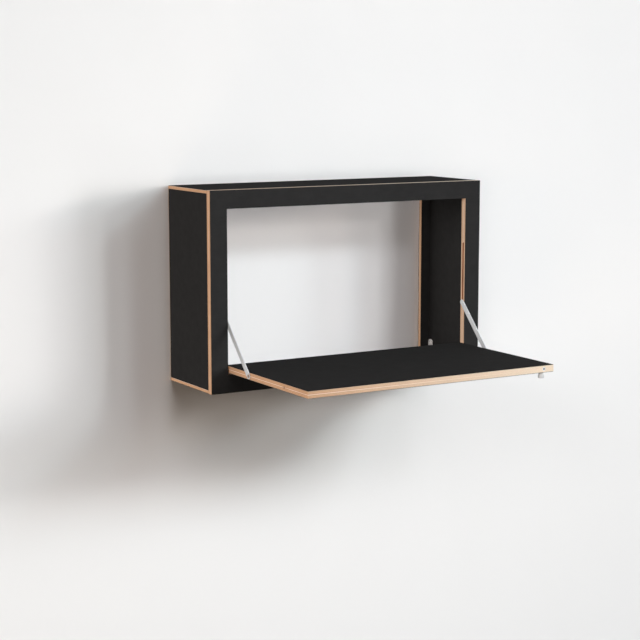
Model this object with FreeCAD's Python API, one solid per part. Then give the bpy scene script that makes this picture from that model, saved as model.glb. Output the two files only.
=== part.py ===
import FreeCAD, Part
import math
import os

# Fold-down wall desk: an open-backed plywood case whose front frame holds a hinged writing flap.
# Millimetres, +X to the right, -Y out of the wall, +Z up, origin on the wall plane at the case's middle.
# The desk is modelled with the flap open and level, hanging on its two stays.

Vector = FreeCAD.Vector
X_AXIS = Vector(1, 0, 0)
Y_AXIS = Vector(0, 1, 0)
Z_AXIS = Vector(0, 0, 1)

# Case boards
case_width = 800.0
case_height = 500.0
case_depth = 232.0
board_thickness = 18.0
panel_thickness = 9.0
frame_border = 46.0
batten_width = 28.0
batten_thickness = 12.0
arris = 0.5

# Fits
seat_clearance = 0.05
running_clearance = 0.05
overrun = 5.0

# Wall screw holes in the battens
wall_hole_inset = 12.0
wall_hole_diameter = 5.5
wall_sink_diameter = 11.0

# Dowels
dowel_diameter = 5.0
dowel_chamfer = 0.6
dowel_long_end = 16.0
dowel_panel_end = 5.0
dowel_frame_end = 10.0
side_dowel_depth_shares = (0.22, 0.80)
frame_dowel_width_shares = (-0.38, 0.0, 0.38)
frame_dowel_height_shares = (-0.27, 0.27)
batten_dowel_height_shares = (-0.25, 0.25)

# Corner braces in the lower rear corners
brace_width = 18.0
brace_leg = 38.0
brace_thickness = 2.0
brace_bend_radius = 2.0
brace_hole_pitch = 15.0
brace_gap = 0.5
brace_screw_diameter = 3.0
brace_screw_grip = 6.0
brace_head_diameter = 6.5
brace_head_height = 1.8
brace_head_rim_share = 0.33
brace_head_crown_share = 0.67

# Flap
flap_side_gap = 3.0
flap_top_gap = 2.0
flap_bottom_gap = 3.5
flap_heel_radius = 3.0
edge_bore_reach = 284.0
edge_bore_diameter = 5.0
edge_bore_depth = 12.0

# Flap hinge
pin_diameter = 6.0
pin_grip = 24.0
pin_end_gap = 1.0
pin_chamfer = 0.5
bush_wall = 1.5
bush_length = 16.0
bush_flange_diameter = 13.0
bush_flange_thickness = 1.0

# Stays
stay_reach = 112.0
stay_length = 163.0
stay_width = 14.0
stay_thickness = 2.0
stay_play = 0.1
washer_thickness = 0.5
washer_diameter = 12.0
pivot_diameter = 5.0
pivot_head_diameter = 8.6
pivot_head_thickness = 0.8
pivot_head_play = 0.3
pivot_seat_play = 0.1
pivot_thread_diameter = 4.0
pivot_thread_length = 20.0

# Rollers that run in the grooves of the stiles
roller_diameter = 5.8
roller_length = 7.0
roller_bore_diameter = 3.2
roller_inset = 0.3
roller_play = 0.3

# Latch
latch_side_inset = 29.0
latch_setback = 12.0
latch_crank = 4.0
latch_start_angle = 45.0
latch_play = 0.3
spindle_diameter = 6.0
crank_disc_diameter = 12.0
crank_disc_thickness = 2.0
crank_pin_diameter = 3.0
yoke_width = 16.0
yoke_wall = 2.5
yoke_height = 9.0
nose_diameter = 5.0
nose_recess = 0.7
nose_chamfer = 0.8
slide_clearance = 0.08
pocket_play = 0.4
cover_length = 30.0
cover_width = 20.0
cover_thickness = 1.5
cover_corner_radius = 3.0
cover_screw_spacing = 24.0
cover_screw_diameter = 2.5
cover_screw_grip = 8.0
cover_head_diameter = 5.0
ferrule_wall = 0.8
ferrule_flange_diameter = 9.2
ferrule_flange_thickness = 1.2
strike_play = 0.4
strike_depth = 8.0
knob_gap = 0.4
knob_height = 15.0
knob_diameter = 15.0
knob_neck_diameter = 12.5
knob_flare_height = 9.0
knob_flare_share = 0.22
knob_rim_radius = 0.8
knob_bore_depth = 10.0
set_screw_diameter = 3.0
set_screw_height = 4.0

# Places that follow from the sizes above
half_width = case_width / 2
half_height = case_height / 2
side_inner = half_width - panel_thickness
frame_back = board_thickness - case_depth
panel_height = half_height - panel_thickness
wall_hole_spacing = 2 * (panel_height - wall_hole_inset)
opening_half_width = half_width - frame_border
opening_half_height = half_height - frame_border
flap_half_width = opening_half_width - flap_side_gap
flap_half_thickness = board_thickness / 2
axis_y = flap_half_thickness - case_depth
axis_z = flap_bottom_gap + flap_half_thickness - opening_half_height
flap_reach = opening_half_height - flap_top_gap - axis_z
flap_front = axis_y - flap_reach
flap_back = axis_y + flap_half_thickness
flap_under = axis_z - flap_half_thickness
flap_over = axis_z + flap_half_thickness
stay_inner = flap_half_width + washer_thickness + stay_play
stay_outer = stay_inner + stay_thickness
stay_pivot = Vector(0, axis_y - stay_reach, axis_z)
roller_low = axis_z + math.sqrt(stay_length**2 - stay_reach**2)
roller_high = axis_z + stay_reach + stay_length
stay_top = Vector(0, axis_y, roller_low)
groove_radius = roller_diameter / 2 + roller_play
groove_depth = roller_inset + roller_length + roller_play
latch_x = flap_half_width - latch_side_inset
latch_y = flap_front + latch_setback
crank_offset = latch_crank * math.sin(math.radians(latch_start_angle))
yoke_slot = crank_pin_diameter + 2 * latch_play
yoke_half_length = yoke_slot / 2 + yoke_wall
pocket_half_length = crank_offset + yoke_half_length + pocket_play
pocket_top = axis_z + yoke_height / 2 + pocket_play
ferrule_length = latch_setback - pocket_half_length
ferrule_bore = nose_diameter / 2 + slide_clearance
strike_bore = nose_diameter / 2 + strike_play


def span_box(x, y, z):
    """Box between a low and a high value on each axis."""
    low = Vector(x[0], y[0], z[0])
    return Part.makeBox(x[1] - x[0], y[1] - y[0], z[1] - z[0], low)


def eased(board):
    """A board with its arrises taken off."""
    return board.makeChamfer(arris, board.Edges)


def rod(start, direction, length, radius):
    """Round bar, or the tool for a bore, from a start point along a direction."""
    return Part.makeCylinder(radius, length, start, direction)


def turned(profile, base, axis):
    """Turned piece: a closed outline of (radius, height) points spun about an axis through base."""
    points = [Vector(radius, 0, height) for radius, height in profile]
    face = Part.Face(Part.makePolygon(points + points[:1]))
    piece = face.revolve(Vector(), Z_AXIS, 360)
    piece.Placement = FreeCAD.Placement(base, FreeCAD.Rotation(Z_AXIS, axis))
    return piece


def mirrored(piece):
    """The same piece on the left half of the desk."""
    return piece.mirror(Vector(), X_AXIS)


def both_sides(pieces):
    """The pieces of the right half together with their mirror images."""
    return pieces + [mirrored(piece) for piece in pieces]


def dowel(seam, direction, short_end, clearance):
    """Dowel across a seam: its short end lies along the direction, its long end against it."""
    start = seam - direction * (dowel_long_end + clearance)
    length = dowel_long_end + short_end + 2 * clearance
    return rod(start, direction, length, dowel_diameter / 2 + clearance)


def eased_dowel(seam, direction, short_end):
    """Dowel with chamfered ends."""
    pin = dowel(seam, direction, short_end, 0)
    rims = [edge for edge in pin.Edges if isinstance(edge.Curve, Part.Circle)]
    return pin.makeChamfer(dowel_chamfer, rims)


def side_seams():
    """Where dowels join the right side panel to the top and bottom panels."""
    x = half_width - panel_thickness / 2
    seams = []
    for share in side_dowel_depth_shares:
        seams.append((Vector(x, frame_back * share, panel_height), Z_AXIS))
        seams.append((Vector(x, frame_back * share, -panel_height), -Z_AXIS))
    return seams


def frame_seams():
    """Where dowels join the front edges of the four panels to the frame."""
    seams = []
    for share in frame_dowel_width_shares:
        for z in (half_height - panel_thickness / 2, panel_thickness / 2 - half_height):
            seams.append((Vector(case_width * share, frame_back, z), -Y_AXIS))
    for share in frame_dowel_height_shares:
        for x in (half_width - panel_thickness / 2, panel_thickness / 2 - half_width):
            seams.append((Vector(x, frame_back, case_height * share), -Y_AXIS))
    return seams


def batten_seams():
    """Where dowels join the right batten to the right side panel."""
    seams = []
    for share in batten_dowel_height_shares:
        seams.append((Vector(side_inner, -batten_thickness / 2, case_height * share), X_AXIS))
    return seams


def dowel_bores(seams, short_end):
    return [dowel(seam, direction, short_end, seat_clearance) for seam, direction in seams]


def dowel_set(seams, short_end):
    return [eased_dowel(seam, direction, short_end) for seam, direction in seams]


case_bores = both_sides(dowel_bores(side_seams(), dowel_panel_end))
frame_bores = dowel_bores(frame_seams(), dowel_frame_end)
batten_bores = both_sides(dowel_bores(batten_seams(), dowel_panel_end))


def brace_screw_places():
    """Screw places of the right brace: a point on its face and the way the screw goes in."""
    reach = brace_leg - brace_width / 2
    y = -batten_thickness - brace_gap - brace_width / 2
    places = []
    for distance in (reach, reach - brace_hole_pitch):
        upright = Vector(side_inner - brace_thickness, y, distance - panel_height)
        places.append((upright, X_AXIS))
        flat = Vector(side_inner - distance, y, brace_thickness - panel_height)
        places.append((flat, -Z_AXIS))
    return places


def brace_bores():
    """Clearance holes that run through the brace into the panels."""
    radius = brace_screw_diameter / 2 + seat_clearance
    depth = brace_thickness + brace_screw_grip + seat_clearance
    return [rod(place, way, depth, radius) for place, way in brace_screw_places()]


def horizontal_panel(low):
    """Top or bottom panel, running over the ends of the side panels."""
    board = eased(span_box((-half_width, half_width), (frame_back, 0), (low, low + panel_thickness)))
    return board.cut(case_bores + frame_bores + both_sides(brace_bores()))


def right_side_panel():
    """Side panel, standing between the top and bottom panels."""
    board = eased(span_box((side_inner, half_width), (frame_back, 0), (-panel_height, panel_height)))
    return board.cut(case_bores + frame_bores + batten_bores + brace_bores())


def right_wall_batten():
    """Batten along the rear edge of the side panel, with two countersunk wall screw holes."""
    x = (side_inner - batten_width, side_inner)
    board = eased(span_box(x, (-batten_thickness, 0), (-panel_height, panel_height)))
    middle = side_inner - batten_width / 2
    hole = wall_hole_diameter / 2
    sink = wall_sink_diameter / 2
    tools = []
    for z in (-wall_hole_spacing / 2, wall_hole_spacing / 2):
        face = Vector(middle, -batten_thickness, z)
        tools.append(rod(face - Y_AXIS * overrun, Y_AXIS, batten_thickness + 2 * overrun, hole))
        tools.append(Part.makeCone(sink, hole, sink - hole, face, Y_AXIS))
    return board.cut(tools + batten_bores)


def brace_leg_plate(across, along, start):
    """One leg of the brace: a flat strip from the corner with a round end, as thick as the strip."""
    half = brace_width / 2
    left = start - Y_AXIS * half
    right = start + Y_AXIS * half
    straight = along * (brace_leg - half)
    tip = start + along * brace_leg
    edges = [Part.LineSegment(right, left).toShape()]
    edges.append(Part.LineSegment(left, left + straight).toShape())
    edges.append(Part.Arc(left + straight, tip, right + straight).toShape())
    edges.append(Part.LineSegment(right + straight, right).toShape())
    return Part.Face(Part.Wire(edges)).extrude(across * brace_thickness)


def right_corner_brace():
    """Bent steel strip that ties the side panel to the bottom panel in front of the batten."""
    y = -batten_thickness - brace_gap - brace_width / 2
    corner = Vector(side_inner, y, -panel_height)
    upright = brace_leg_plate(-X_AXIS, Z_AXIS, corner)
    flat = brace_leg_plate(Z_AXIS, -X_AXIS, corner)
    strip = upright.fuse(flat).removeSplitter()
    heel = Vector(-brace_thickness, 0, brace_thickness)
    strip = fillet_at(strip, corner + heel, brace_bend_radius)
    strip = fillet_at(strip, corner, brace_bend_radius + brace_thickness)
    return strip.cut(brace_bores())


def fillet_at(solid, middle, radius):
    """Round the one edge whose middle is nearest to a point."""
    edge = min(solid.Edges, key=lambda candidate: (candidate.CenterOfMass - middle).Length)
    return solid.makeFillet(radius, [edge])


def brace_screw(place, way):
    """Round-headed wood screw, its head seated on the brace."""
    head = brace_head_diameter / 2
    shank = brace_screw_diameter / 2
    crown = head * brace_head_crown_share
    rim = brace_head_height * brace_head_rim_share
    end = brace_thickness + brace_screw_grip
    profile = [(0, end), (shank, end - shank), (shank, 0), (head, 0), (head, -rim)]
    profile += [(crown, -brace_head_height), (0, -brace_head_height)]
    return turned(profile, place, way)


def roller_groove():
    """Groove in the right stile's inner edge, round at both ends, as long as the roller travels."""
    low = Vector(opening_half_width - overrun, axis_y, roller_low)
    high = Vector(opening_half_width - overrun, axis_y, roller_high)
    length = groove_depth + overrun
    x = (low.x, low.x + length)
    y = (axis_y - groove_radius, axis_y + groove_radius)
    middle = span_box(x, y, (roller_low, roller_high))
    ends = [rod(place, X_AXIS, length, groove_radius) for place in (low, high)]
    return middle.fuse(ends).removeSplitter()


def bush_seat():
    """Bore in the right stile for the hinge bush."""
    base = Vector(opening_half_width, axis_y, axis_z)
    radius = pin_diameter / 2 + running_clearance + bush_wall + seat_clearance
    return rod(base, X_AXIS, bush_length + seat_clearance, radius)


def ferrule_profile(length, bore):
    """Outline of a flanged sleeve, its flange at height zero."""
    sleeve = bore + ferrule_wall
    flange = ferrule_flange_diameter / 2
    step = ferrule_flange_thickness
    return [(bore, 0), (flange, 0), (flange, step), (sleeve, step), (sleeve, length), (bore, length)]


def ferrule_seat(length, bore, base, axis):
    """Stepped bore that takes a flanged sleeve flush."""
    sleeve = bore + ferrule_wall + seat_clearance
    flange = ferrule_flange_diameter / 2 + seat_clearance
    step = ferrule_flange_thickness
    profile = [(0, 0), (flange, 0), (flange, step), (sleeve, step), (sleeve, length), (0, length)]
    return turned(profile, base, axis)


strike_place = Vector(latch_x, axis_y, opening_half_height)
ferrule_place = Vector(latch_x, flap_front, axis_z)


def front_frame():
    """Front frame, one board with the flap's opening cut out of it."""
    y = (-case_depth, frame_back)
    board = span_box((-half_width, half_width), y, (-half_height, half_height))
    x = (-opening_half_width, opening_half_width)
    opening = span_box(x, (y[0] - overrun, y[1] + overrun), (-opening_half_height, opening_half_height))
    board = eased(board.cut(opening))
    tools = both_sides([roller_groove(), bush_seat()])
    tools.append(ferrule_seat(strike_depth, strike_bore, strike_place, Z_AXIS))
    return board.cut(tools + frame_bores)


def right_hinge_bush():
    """Flanged bush pressed into the stile, its flange in the gap beside the flap."""
    bore = pin_diameter / 2 + running_clearance
    outer = bore + bush_wall
    flange = bush_flange_diameter / 2
    lip = -bush_flange_thickness
    profile = [(bore, lip), (flange, lip), (flange, 0), (outer, 0), (outer, bush_length), (bore, bush_length)]
    return turned(profile, Vector(opening_half_width, axis_y, axis_z), X_AXIS)


def right_hinge_pin():
    """Hinge pin: pressed into the flap's edge, turning in the bush."""
    start = Vector(flap_half_width - pin_grip, axis_y, axis_z)
    length = pin_grip + flap_side_gap + bush_length - pin_end_gap
    pin = rod(start, X_AXIS, length, pin_diameter / 2)
    rims = [edge for edge in pin.Edges if isinstance(edge.Curve, Part.Circle)]
    return pin.makeChamfer(pin_chamfer, rims)


def flap_section():
    """Section of the flap across its length, with a rounded heel that clears the lower rail."""
    heel = flap_heel_radius
    heel_middle = Vector(-flap_half_width, flap_back - heel, flap_under + heel)
    diagonal = Vector(0, heel, -heel) * math.sqrt(1 / 2)
    corners = [Vector(-flap_half_width, flap_back, flap_under + heel)]
    corners.append(Vector(-flap_half_width, flap_back, flap_over - arris))
    corners.append(Vector(-flap_half_width, flap_back - arris, flap_over))
    corners.append(Vector(-flap_half_width, flap_front + arris, flap_over))
    corners.append(Vector(-flap_half_width, flap_front, flap_over - arris))
    corners.append(Vector(-flap_half_width, flap_front, flap_under + arris))
    corners.append(Vector(-flap_half_width, flap_front + arris, flap_under))
    corners.append(Vector(-flap_half_width, flap_back - heel, flap_under))
    edges = [Part.LineSegment(a, b).toShape() for a, b in zip(corners, corners[1:])]
    edges.append(Part.Arc(corners[-1], heel_middle + diagonal, corners[0]).toShape())
    return Part.Face(Part.Wire(edges))


def flap_edge_bores():
    """Bores in the flap's right edge: hinge pin, stay pivot and the open bore beyond it."""
    edge = Vector(flap_half_width, axis_y, axis_z)
    pivot = edge - Y_AXIS * stay_reach
    spare = edge - Y_AXIS * edge_bore_reach
    bores = [rod(edge, -X_AXIS, pin_grip + seat_clearance, pin_diameter / 2 + seat_clearance)]
    thread = pivot_thread_diameter / 2 + seat_clearance
    bores.append(rod(pivot, -X_AXIS, pivot_thread_length + seat_clearance, thread))
    bores.append(rod(spare, -X_AXIS, edge_bore_depth, edge_bore_diameter / 2))
    return bores


def cover_outline(clearance):
    """Rounded plate in the latch's place on the flap's underside, grown by a clearance."""
    x = (latch_x - cover_length / 2 - clearance, latch_x + cover_length / 2 + clearance)
    y = (latch_y - cover_width / 2 - clearance, latch_y + cover_width / 2 + clearance)
    plate = span_box(x, y, (flap_under, flap_under + cover_thickness))
    uprights = [edge for edge in plate.Edges if edge.BoundBox.ZLength > cover_thickness / 2]
    return plate.makeFillet(cover_corner_radius + clearance, uprights)


def cover_screw_places():
    return [Vector(latch_x + side * cover_screw_spacing / 2, latch_y, flap_under) for side in (-1, 1)]


def cover_screw_bores():
    """Countersunk holes through the cover plate that run on into the flap."""
    head = cover_head_diameter / 2 + seat_clearance
    shank = cover_screw_diameter / 2 + seat_clearance
    sink = (cover_head_diameter - cover_screw_diameter) / 2
    tools = []
    for place in cover_screw_places():
        tools.append(Part.makeCone(head, shank, sink, place, Z_AXIS))
        tools.append(rod(place, Z_AXIS, cover_screw_grip + seat_clearance, shank))
    return tools


def latch_pocket():
    """Pocket in the flap's underside for the crank and the bolt's yoke."""
    x = (latch_x - yoke_width / 2 - pocket_play, latch_x + yoke_width / 2 + pocket_play)
    y = (latch_y - pocket_half_length, latch_y + pocket_half_length)
    return span_box(x, y, (flap_under - overrun, pocket_top))


def flap_panel():
    """Writing flap, cut to fit the opening of the frame."""
    board = flap_section().extrude(X_AXIS * (2 * flap_half_width))
    tools = both_sides(flap_edge_bores())
    tools += [latch_pocket(), cover_outline(seat_clearance)]
    tools.append(ferrule_seat(ferrule_length + overrun, ferrule_bore, ferrule_place, Y_AXIS))
    return board.cut(tools + cover_screw_bores())


def along_stay(point, radius):
    return rod(Vector(stay_inner, point.y, point.z), X_AXIS, stay_thickness, radius)


def right_stay_bar():
    """Flat bar with round ends, bored at its pivot and at its top for flush heads."""
    run = stay_top - stay_pivot
    aside = run.cross(X_AXIS).normalize() * (stay_width / 2)
    tip = run * (1 / stay_length) * (stay_width / 2)
    inner = X_AXIS * stay_inner
    low = stay_pivot + inner
    high = stay_top + inner
    edges = [Part.LineSegment(low + aside, high + aside).toShape()]
    edges.append(Part.Arc(high + aside, high + tip, high - aside).toShape())
    edges.append(Part.LineSegment(high - aside, low - aside).toShape())
    edges.append(Part.Arc(low - aside, low - tip, low + aside).toShape())
    bar = Part.Face(Part.Wire(edges)).extrude(X_AXIS * stay_thickness)
    hole = pivot_diameter / 2 + running_clearance
    sink = pivot_head_diameter / 2 + pivot_head_play
    seat_depth = pivot_head_thickness + pivot_seat_play
    tools = []
    for point in (stay_pivot, stay_top):
        face = Vector(stay_outer - seat_depth, point.y, point.z)
        tools.append(along_stay(point, hole))
        tools.append(rod(face, X_AXIS, seat_depth + overrun, sink))
    return bar.cut(tools)


def right_stay_rivet():
    """Rivet in the bar's top eye, flush on both faces; it stands for the pin that carries the roller."""
    shank = pivot_diameter / 2
    head = pivot_head_diameter / 2
    step = stay_thickness - pivot_head_thickness
    profile = [(0, 0), (shank, 0), (shank, step), (head, step), (head, stay_thickness), (0, stay_thickness)]
    return turned(profile, stay_top + X_AXIS * stay_inner, X_AXIS)


def right_stay_screw():
    """Shoulder screw in the flap's edge on which the stay turns, its head flush with the bar."""
    shank = pivot_diameter / 2
    head = pivot_head_diameter / 2
    thread = pivot_thread_diameter / 2
    top = stay_outer - flap_half_width
    step = top - pivot_head_thickness
    profile = [(0, -pivot_thread_length), (thread, -pivot_thread_length), (thread, 0), (shank, 0)]
    profile += [(shank, step), (head, step), (head, top), (0, top)]
    return turned(profile, stay_pivot + X_AXIS * flap_half_width, X_AXIS)


def right_stay_washer():
    """Thin washer that keeps the bar off the flap's edge."""
    bore = pivot_diameter / 2 + seat_clearance
    rim = washer_diameter / 2
    profile = [(bore, 0), (rim, 0), (rim, washer_thickness), (bore, washer_thickness)]
    return turned(profile, stay_pivot + X_AXIS * flap_half_width, X_AXIS)


def right_slide_roller():
    """Nylon roller in the groove, at the groove's lower end while the flap is open."""
    bore = roller_bore_diameter / 2
    rim = roller_diameter / 2
    profile = [(bore, 0), (rim, 0), (rim, roller_length), (bore, roller_length)]
    return turned(profile, stay_top + X_AXIS * (opening_half_width + roller_inset), X_AXIS)


latch_base = Vector(latch_x, latch_y, flap_under)
crank_angle = math.radians(latch_start_angle)
crank_arm = Vector(math.cos(crank_angle), math.sin(crank_angle), 0) * latch_crank
crank_floor = cover_thickness + latch_play


def latch_spindle():
    """Spindle through the cover plate, with a crank disc and an off-centre pin at its inner end."""
    shaft_low = latch_base - Z_AXIS * (knob_gap + knob_bore_depth)
    shaft_length = knob_gap + knob_bore_depth + crank_floor
    shaft = rod(shaft_low, Z_AXIS, shaft_length, spindle_diameter / 2)
    disc = rod(latch_base + Z_AXIS * crank_floor, Z_AXIS, crank_disc_thickness, crank_disc_diameter / 2)
    disc_top = latch_base + Z_AXIS * (crank_floor + crank_disc_thickness)
    pin_length = axis_z + yoke_height / 2 - disc_top.z
    pin = rod(disc_top + crank_arm, Z_AXIS, pin_length, crank_pin_diameter / 2)
    return shaft.fuse([disc, pin])


def latch_bolt():
    """Bolt: a yoke that the crank pin pushes, and a round nose that leaves the flap's front edge."""
    middle_y = latch_y + crank_arm.y
    y = (middle_y - yoke_half_length, middle_y + yoke_half_length)
    x = (latch_x - yoke_width / 2, latch_x + yoke_width / 2)
    z = (axis_z - yoke_height / 2, axis_z + yoke_height / 2)
    yoke = span_box(x, y, z)
    slot_reach = crank_pin_diameter / 2 + latch_play
    slot_x = (latch_x + crank_arm.x - slot_reach, latch_x + latch_crank + slot_reach)
    slot_y = (middle_y - yoke_slot / 2, middle_y + yoke_slot / 2)
    slot = span_box(slot_x, slot_y, (z[0] - overrun, z[1] + overrun))
    nose_end = flap_front + nose_recess
    length = y[0] - nose_end
    radius = nose_diameter / 2
    tip = radius - nose_chamfer
    profile = [(0, 0), (tip, 0), (radius, nose_chamfer), (radius, length), (0, length)]
    nose = turned(profile, Vector(latch_x, nose_end, axis_z), Y_AXIS)
    return yoke.cut(slot).fuse(nose).removeSplitter()


def latch_cover_plate():
    """Plate let into the flap's underside that closes the latch pocket and carries the spindle."""
    shaft = rod(latch_base, Z_AXIS, cover_thickness, spindle_diameter / 2 + running_clearance)
    return cover_outline(0).cut([shaft] + cover_screw_bores())


def cover_screw(place):
    """Small countersunk screw, flush with the cover plate."""
    head = cover_head_diameter / 2
    shank = cover_screw_diameter / 2
    sink = head - shank
    end = cover_screw_grip
    profile = [(0, 0), (head, 0), (shank, sink), (shank, end - shank), (0, end)]
    return turned(profile, place, Z_AXIS)


def knob_outline():
    """Half outline of the knob: a neck that flares in a hollow curve to a rounded rim."""
    neck = knob_neck_diameter / 2
    rim = knob_diameter / 2
    rounding = knob_rim_radius
    belly = Vector(neck + (rim - neck) * knob_flare_share, 0, knob_gap + knob_flare_height / 2)
    corner = Vector(rim - rounding, 0, knob_height - rounding)
    bend = corner + Vector(rounding, 0, rounding) * math.sqrt(1 / 2)
    neck_edge = Vector(neck, 0, knob_gap)
    flare_end = Vector(rim, 0, knob_gap + knob_flare_height)
    rim_end = Vector(rim, 0, knob_height - rounding)
    face_edge = Vector(rim - rounding, 0, knob_height)
    edges = [Part.LineSegment(Vector(0, 0, knob_gap), neck_edge).toShape()]
    edges.append(Part.Arc(neck_edge, belly, flare_end).toShape())
    edges.append(Part.LineSegment(flare_end, rim_end).toShape())
    edges.append(Part.Arc(rim_end, bend, face_edge).toShape())
    edges.append(Part.LineSegment(face_edge, Vector(0, 0, knob_height)).toShape())
    edges.append(Part.LineSegment(Vector(0, 0, knob_height), Vector(0, 0, knob_gap)).toShape())
    return Part.Face(Part.Wire(edges))


def across_neck(length, radius):
    """Round bar that leaves the spindle's side and runs out through the knob's neck."""
    start = latch_base - Z_AXIS * (knob_gap + set_screw_height) + X_AXIS * (spindle_diameter / 2)
    return rod(start, X_AXIS, length, radius)


def knob_set_screw():
    """Grub screw that holds the knob on its spindle, just below the neck's surface."""
    return across_neck((knob_neck_diameter - spindle_diameter) / 2, set_screw_diameter / 2)


def latch_knob():
    """Turned knob on the flap's outer face."""
    knob = knob_outline().revolve(Vector(), Z_AXIS, 360)
    knob.Placement = FreeCAD.Placement(latch_base, FreeCAD.Rotation(Z_AXIS, -Z_AXIS))
    bore_low = latch_base - Z_AXIS * (knob_gap + knob_bore_depth + seat_clearance)
    bore_length = knob_bore_depth + seat_clearance + overrun
    bore = rod(bore_low, Z_AXIS, bore_length, spindle_diameter / 2 + seat_clearance)
    return knob.cut([bore, across_neck(knob_diameter, set_screw_diameter / 2 + seat_clearance)])


def latch_ferrule():
    """Flanged sleeve, flush in the flap's front edge, that guides the bolt's nose."""
    return turned(ferrule_profile(ferrule_length, ferrule_bore), ferrule_place, Y_AXIS)


def strike_ferrule():
    """Flanged sleeve in the upper rail that takes the bolt's nose when the desk is shut."""
    return turned(ferrule_profile(strike_depth, strike_bore), strike_place, Z_AXIS)


def build():
    """Every piece of the desk by its name."""
    pieces = {
        "front_frame": front_frame(),
        "top_panel": horizontal_panel(panel_height),
        "bottom_panel": horizontal_panel(-half_height),
        "case_dowels": Part.makeCompound(both_sides(dowel_set(side_seams(), dowel_panel_end))),
        "frame_dowels": Part.makeCompound(dowel_set(frame_seams(), dowel_frame_end)),
        "batten_dowels": Part.makeCompound(both_sides(dowel_set(batten_seams(), dowel_panel_end))),
        "brace_screws": Part.makeCompound(both_sides([brace_screw(*spot) for spot in brace_screw_places()])),
        "strike_ferrule": strike_ferrule(),
        "flap_panel": flap_panel(),
        "latch_ferrule": latch_ferrule(),
        "latch_cover_plate": latch_cover_plate(),
        "latch_cover_screws": Part.makeCompound([cover_screw(place) for place in cover_screw_places()]),
        "latch_bolt": latch_bolt(),
        "latch_spindle": latch_spindle(),
        "latch_knob": latch_knob(),
        "knob_set_screw": knob_set_screw(),
    }
    sided = {
        "side_panel": right_side_panel(),
        "wall_batten": right_wall_batten(),
        "corner_brace": right_corner_brace(),
        "hinge_bush": right_hinge_bush(),
        "hinge_pin": right_hinge_pin(),
        "stay_bar": right_stay_bar(),
        "stay_rivet": right_stay_rivet(),
        "stay_screw": right_stay_screw(),
        "stay_washer": right_stay_washer(),
        "slide_roller": right_slide_roller(),
    }
    for name, piece in sided.items():
        pieces["right_" + name] = piece
        pieces["left_" + name] = mirrored(piece)
    return pieces


os.makedirs("parts", exist_ok=True)
for name, piece in build().items():
    if not piece.isValid():
        raise ValueError("invalid solid in " + name)
    piece.exportStep("parts/" + name + ".step")
    print(name, len(piece.Solids), round(piece.Volume))
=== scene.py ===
import math
from functools import partial

import bpy
import numpy as np
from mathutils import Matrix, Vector


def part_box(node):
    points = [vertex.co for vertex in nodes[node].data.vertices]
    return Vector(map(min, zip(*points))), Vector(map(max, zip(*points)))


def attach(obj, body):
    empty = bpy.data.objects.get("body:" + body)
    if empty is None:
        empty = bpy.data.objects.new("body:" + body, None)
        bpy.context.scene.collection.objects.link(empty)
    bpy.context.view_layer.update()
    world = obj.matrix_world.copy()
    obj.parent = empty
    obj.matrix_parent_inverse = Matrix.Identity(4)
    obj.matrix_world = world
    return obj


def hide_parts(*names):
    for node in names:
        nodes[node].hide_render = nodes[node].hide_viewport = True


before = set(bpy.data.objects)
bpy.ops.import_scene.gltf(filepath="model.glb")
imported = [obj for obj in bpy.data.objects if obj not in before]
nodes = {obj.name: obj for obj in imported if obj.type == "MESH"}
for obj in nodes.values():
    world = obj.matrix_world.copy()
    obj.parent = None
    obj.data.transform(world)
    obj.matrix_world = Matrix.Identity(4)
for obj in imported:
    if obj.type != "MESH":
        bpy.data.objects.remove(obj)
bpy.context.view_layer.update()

# Looks of the fold-down wall desk: black film-faced plywood with bare edges, steel stays and a turned knob

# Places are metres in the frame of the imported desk, and patterns are worked out in millimetres
MM = 0.001
PER_METRE = 1000.0

# View of the desk
CAMERA_PLACE = (-2.19222, -3.79252, 0.51804)
CAMERA_YAW = 30.53
CAMERA_PITCH = -8.33
CAMERA_LENS = 92.96
CAMERA_SENSOR = 36.0

# Far lamps: degrees to the right of straight in front, degrees up, spread, and share of the wall's light
FAR_LAMPS = {
    "low_key": dict(azimuth=57.5, elevation=8.0, spread=9.0, share=0.102, colour=(1.05, 1.0, 0.94)),
    "mid_key": dict(azimuth=54.0, elevation=16.0, spread=9.0, share=0.045, colour=(0.76, 1.05, 1.16)),
    "key": dict(azimuth=38.5, elevation=25.0, spread=9.0, share=0.112, colour=(0.86, 1.03, 1.11)),
    "rim": dict(azimuth=75.0, elevation=11.0, spread=9.0, share=0.037, colour=(0.92, 1.03, 1.07)),
    "upper_left": dict(azimuth=2.5, elevation=32.0, spread=11.0, share=0.090, colour=(1.02, 1.01, 1.06)),
    "upper_right": dict(azimuth=24.5, elevation=30.0, spread=11.0, share=0.065, colour=(0.88, 1.03, 1.10)),
}

# Near lamps: balls in front of the desk, with their place, radius and share of the wall's light
NEAR_LAMPS = {
    "right_ball": dict(place=(2.2, -2.2, 0.52), radius=0.20, share=0.125, colour=(1.10, 0.99, 0.95)),
    "high_ball": dict(place=(1.8, -3.1, 1.05), radius=0.16, share=0.111, colour=(1.03, 1.0, 0.98)),
    "front_left_ball": dict(place=(-0.48, -1.25, 0.2), radius=0.14, share=0.122, colour=(1.04, 0.99, 0.97)),
    "front_right_ball": dict(place=(0.69, -1.26, 0.21), radius=0.11, share=0.190, colour=(1.0, 1.0, 1.01)),
    "inner_ball": dict(place=(0.25, -0.87, -0.04), radius=0.10, share=0.042, colour=(1.06, 1.0, 1.01)),
    "middle_ball": dict(place=(0.13, -1.35, 0.22), radius=0.11, share=0.034, colour=(1.05, 0.99, 0.97)),
    "low_left_ball": dict(place=(-1.15, -0.7, -0.8), radius=0.30, share=0.112, colour=(1.18, 0.98, 0.81)),
    "left_ball": dict(place=(-3.0, -2.0, 0.4), radius=0.30, share=0.034, colour=(1.35, 0.94, 0.65)),
}
BALL_POWER = 4 * math.pi ** 2

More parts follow.
